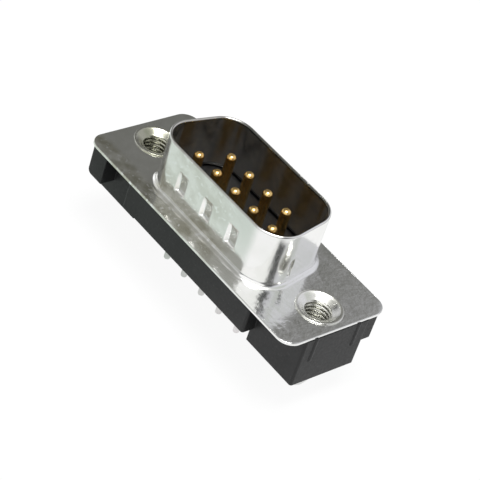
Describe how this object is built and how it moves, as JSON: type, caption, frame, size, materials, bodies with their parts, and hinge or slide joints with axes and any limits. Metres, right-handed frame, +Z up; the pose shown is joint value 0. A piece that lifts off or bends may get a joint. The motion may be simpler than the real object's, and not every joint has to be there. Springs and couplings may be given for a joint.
{
  "type": "d-sub connector",
  "caption": "Upright board-mount D-sub plug: plated steel D shell round gold pins, black insulator, flared threaded inserts and sprung boardlocks",
  "frame": {"origin": "middle of the two boardlocks, on the board's surface that the end blocks stand on", "axes": "X along the connector, Y across it with the wide row of five pins on the -Y side, Z up out of the board in the mating direction"},
  "size_m": [0.0312, 0.0126, 0.0146],
  "materials": {
    "shell_plating": "satin tin plate on drawn steel",
    "insulator_black": "glass-filled polyester, moulded black",
    "housing_black": "glass-filled polyester, moulded black, fine spark texture",
    "contact_gold": "brass with gold on the pin and tin on the solder tail",
    "insert_nickel": "bright nickel plate",
    "lock_tin": "tin plate on spring steel"
  },
  "bodies": {
    "root": {"front_shell": "shell_plating", "pin_insulator": "insulator_black", "rear_housing": "housing_black", "contact_1": "contact_gold", "contact_2": "contact_gold", "contact_3": "contact_gold", "contact_4": "contact_gold", "contact_5": "contact_gold", "contact_6": "contact_gold", "contact_7": "contact_gold", "contact_8": "contact_gold", "contact_9": "contact_gold", "threaded_insert_left": "insert_nickel", "threaded_insert_right": "insert_nickel", "boardlock_left": "lock_tin", "boardlock_right": "lock_tin"}
  },
  "joints": []
}
